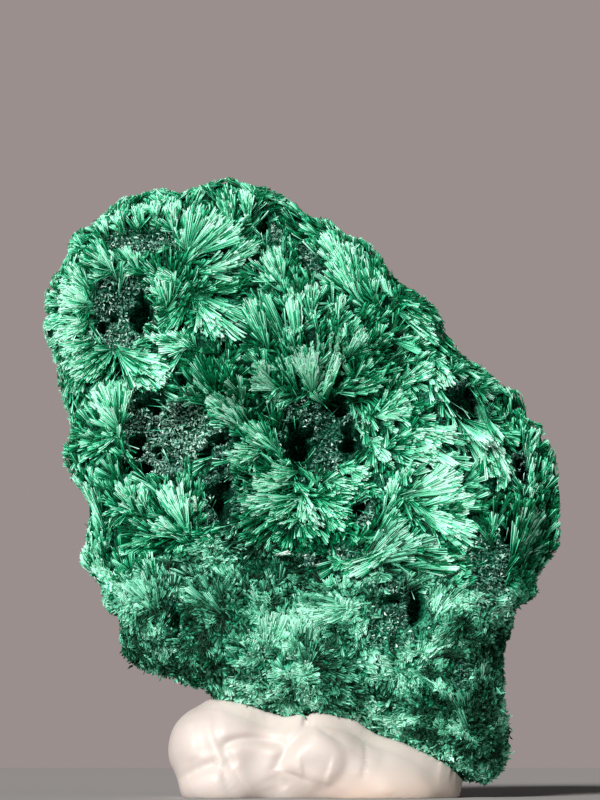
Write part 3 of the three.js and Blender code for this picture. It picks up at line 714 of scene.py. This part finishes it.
foot_grains = no_needles()
near = np.flatnonzero(low_body & (body_normals[:, 1] < -0.2))
strew_grains(
    foot_grains, near, 2, pale=0.4, dark_tones=(0.14, 0.34), pale_tones=(0.32, 0.5), long=0.65, mottle=1.3,
)
needle_piece("foot_grains", foot_grains, rng, foot_silk, radius=0.06, least=0.1, hollows=HOLES)


# The putty: a lump of white mounting putty, kneaded, rolled and pressed flat under the stone.
# It is satin and slightly translucent, and peach where it is thinnest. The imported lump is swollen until
# the valleys between its lobes close, sunk again, creased, and pressed to the stone where it comes near.

# Depth, width and height of the lip on the left of each crease, and the x and z it runs through.
FRONT_CREASES = [
    (0.7, 0.25, 0.0, [(0.8, 7.0), (0.75, 6.0), (0.6, 5.3)]),
    (0.45, 0.5, 0.3, [(0.8, 5.7), (0.3, 4.9), (-0.6, 4.0), (-1.3, 3.1), (-1.6, 2.2)]),
    (0.15, 0.4, 0.0, [(-1.9, 2.5), (-1.7, 1.5), (-0.9, 0.8)]),
    (0.2, 0.9, 0.0, [(0.2, 2.2), (1.4, 2.4), (2.4, 2.1)]),
    (0.1, 0.45, 0.0, [(1.0, 0.6), (2.7, 0.9), (3.8, 2.2), (3.6, 3.8), (2.6, 4.8)]),
    (0.12, 0.14, 0.06, [(4.9, 1.5), (5.2, 2.8), (5.2, 4.2)]),
    (0.36, 0.45, 0.3, [(-0.9, 4.0), (-2.2, 4.3), (-3.7, 4.5), (-5.1, 4.3), (-5.9, 3.8)]),
    (0.22, 0.4, 0.0, [(-6.4, 6.6), (-6.5, 5.2), (-6.1, 4.2), (-5.5, 3.3), (-4.8, 2.4)]),
    (-0.14, 0.6, 0.0, [(-6.9, 6.4), (-6.8, 4.8), (-6.3, 3.6), (-5.6, 2.6)]),
    (0.25, 0.8, 0.0, [(-7.5, 7.0), (-7.5, 5.0), (-7.1, 3.2)]),
    (-0.16, 0.9, 0.0, [(-8.6, 6.0), (-8.3, 4.4), (-7.8, 3.0)]),
    (0.36, 0.45, 0.25, [(-6.1, 2.7), (-7.5, 2.2), (-8.8, 1.6), (-9.5, 1.3)]),
    (0.12, 0.9, 0.0, [(6.1, 3.0), (8.6, 2.3), (10.9, 2.0)]),
]
BACK_CREASES = [
    (0.4, 0.35, 0.4, [(-7.5, 3.0), (-4.0, 3.8), (0.0, 3.0), (3.0, 4.2)]),
    (0.4, 0.3, 0.3, [(8.5, 1.6), (5.5, 3.2), (3.4, 2.0)]),
    (0.3, 0.6, 0.0, [(-3.0, 1.0), (-1.0, 2.2), (1.5, 1.4)]),
]


def rounded(line):
    """A line with its corners cut twice."""
    line = np.array(line)
    for _ in range(2):
        cuts = np.stack([0.75 * line[:-1] + 0.25 * line[1:], 0.25 * line[:-1] + 0.75 * line[1:]], axis=1)
        line = np.concatenate([line[:1], cuts.reshape(-1, 2), line[-1:]])
    return line


def fold(points, creases):
    """How high the folds stand at every point, as seen from the front or the back."""
    height = np.zeros(len(points))
    flat = points[:, (0, 2)]
    for depth, width, lip, line in creases:
        away = np.full(len(flat), np.inf)
        is_left = np.zeros(len(flat), bool)
        part = np.zeros(len(flat))
        route = rounded(line)
        for i, (start, end) in enumerate(zip(route[:-1], route[1:])):
            way = end - start
            share = np.clip((flat - start) @ way / (way @ way), 0, 1)
            gap = flat - start - share[:, None] * way
            distance = np.hypot(*gap.T)
            closer = distance < away
            away[closer] = distance[closer]
            is_left[closer] = (way[0] * gap[:, 1] - way[1] * gap[:, 0] > 0)[closer]
            part[closer] = (i + share[closer]) / (len(route) - 1)
        fade = np.clip(6 * part * (1 - part), 0, 1)
        height -= fade * depth * np.exp(-(away / width) ** 2)
        height += np.where(is_left, fade * lip * away / (2 * width) * np.exp(1 - away / (2 * width)), 0)
    return height


def kneaded(points, triangles, rounds):
    """The points of a closed skin, each moved half way to the middle of its neighbours, some rounds over."""
    edges = np.concatenate([triangles[:, (0, 1)], triangles[:, (1, 2)], triangles[:, (2, 0)]])
    neighbours = np.bincount(edges[:, 0], minlength=len(points))[:, None]
    for _ in range(rounds):
        sums = np.zeros_like(points)
        np.add.at(sums, edges[:, 0], points[edges[:, 1]])
        points = 0.5 * points + 0.5 * sums / neighbours
    return points


WHITE, PEACH, DULL = (0.6, 0.53, 0.49), (0.6, 0.43, 0.33), (0.4, 0.36, 0.32)
putty_white, putty_shader, start = new_material(
    "putty_white", Roughness=0.5, Subsurface_Weight=0.15, Subsurface_Scale=0.001,
)
place = start.node("ShaderNodeTexCoord", output="Object")
across = start.node("ShaderNodeSeparateXYZ", None, {"Vector": place}, "X")
height = start.node("ShaderNodeSeparateXYZ", None, {"Vector": place}, "Z")
peach = (1 - height.between(0.0, 0.0028)) * across.between(-0.002, 0.006) * 0.7
dull = across.between(0.003, 0.011) * 0.6
feed(putty_shader, "Base Color", dull.mixed(peach.mixed(WHITE, PEACH), DULL))

PUTTY_FACE = 0.24
SWOLLEN = 1.5
# How far it is sunk again, and how much further at the back.
SUNK, SUNK_BACK = 1.1, 0.4
DENTS = 0.05
# The putty closes on the stone wherever it comes nearer than this.
PRESSED = 1.3
putty_points, putty_triangles = worn_copy("putty", PUTTY_FACE, 20, inset=-SWOLLEN, last_rounds=40)
putty_normals = normals_of(putty_points, putty_triangles)
sinking = SUNK + SUNK_BACK * np.clip(putty_normals[:, 1], 0, 1)
putty_points = kneaded(putty_points - sinking[:, None] * putty_normals, putty_triangles, 12)
putty_normals = normals_of(putty_points, putty_triangles)
facing = np.clip(-FACING * putty_normals[:, 1], -1, 1)
folds = np.where(facing > 0, fold(putty_points, FRONT_CREASES), fold(putty_points, BACK_CREASES))
putty_points += putty_normals * (DENTS * crumble(putty_points, 1.7))[:, None]
putty_points[:, 1] -= folds * facing
for i, point in enumerate(putty_points):
    nearest, _, _, distance = skin.find_nearest(Vector(point))
    if distance < PRESSED:
        putty_points[i] += (np.array(nearest) - point) * np.clip(2 * (PRESSED - distance), 0, 1)
putty_points[:, 2] = np.maximum(putty_points[:, 2], 0)
putty = new_piece("putty_lump", putty_points, putty_triangles, putty_white, smooth=True)
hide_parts("putty")


# The stage, none of it part of the specimen: a plain matt floor, a plain room, one broad light from the
# front left, a weak one from the front right, and a camera that looks slightly up at the stone.

FLOOR_HALF = 3
floor_paint, floor_shader, _ = new_material("floor", Roughness=0.9)
floor_shader.inputs["Base Color"].default_value = (0.36, 0.34, 0.335, 1)
floor_mesh = bpy.data.meshes.new("floor")
floor_corners = [(FLOOR_HALF * x, FLOOR_HALF * y, 0) for x, y in ((-1, -1), (1, -1), (1, 1), (-1, 1))]
floor_mesh.from_pydata(floor_corners, [], [(0, 1, 2, 3)])
floor_mesh.materials.append(floor_paint)
floor = bpy.data.objects.new("floor", floor_mesh)
bpy.context.scene.collection.objects.link(floor)


def soft_light(name, kind, place, aim, power, colour, **size):
    """A light at a place in metres, aimed at a point."""
    lamp = bpy.data.lights.new(name, kind)
    lamp.energy = power
    lamp.color = colour
    for setting, value in size.items():
        setattr(lamp, setting, value)
    light = bpy.data.objects.new(name, lamp)
    light.location = place
    light.rotation_euler = (Vector(aim) - Vector(place)).to_track_quat("-Z", "Y").to_euler()
    bpy.context.scene.collection.objects.link(light)


soft_light("window", "SUN", (-0.55, -1.0, 0.55), (0, 0, 0), 5.0, (1, 0.985, 0.965), angle=0.3)
soft_light("fill", "AREA", (0.3, -0.3, 0.06), (0, 0, 0.028), 0.24, (1, 0.97, 0.94), size=0.3)

world = bpy.data.worlds.new("room")
world.use_nodes = True
sky = Sock(world.node_tree, None)
seen = sky.node("ShaderNodeLightPath", output="Is Camera Ray")
room_colour = seen.mixed((0.07, 0.066, 0.065), (0.325, 0.275, 0.267))
feed(world.node_tree.nodes["Background"], "Color", room_colour)
bpy.context.scene.world = world

# How far the camera looks up, in degrees.
LOOKS_UP = 12.4
camera = bpy.data.objects.new("camera", bpy.data.cameras.new("camera"))
camera.data.lens = 75
camera.data.sensor_width = 36
camera.data.clip_start = 0.005
camera.location = (0.000125, -0.13756, 0.0024)
camera.rotation_euler = (np.radians(90 + LOOKS_UP), 0, 0)
bpy.context.scene.collection.objects.link(camera)
bpy.context.scene.camera = camera
bpy.context.scene.view_settings.view_transform = "Standard"
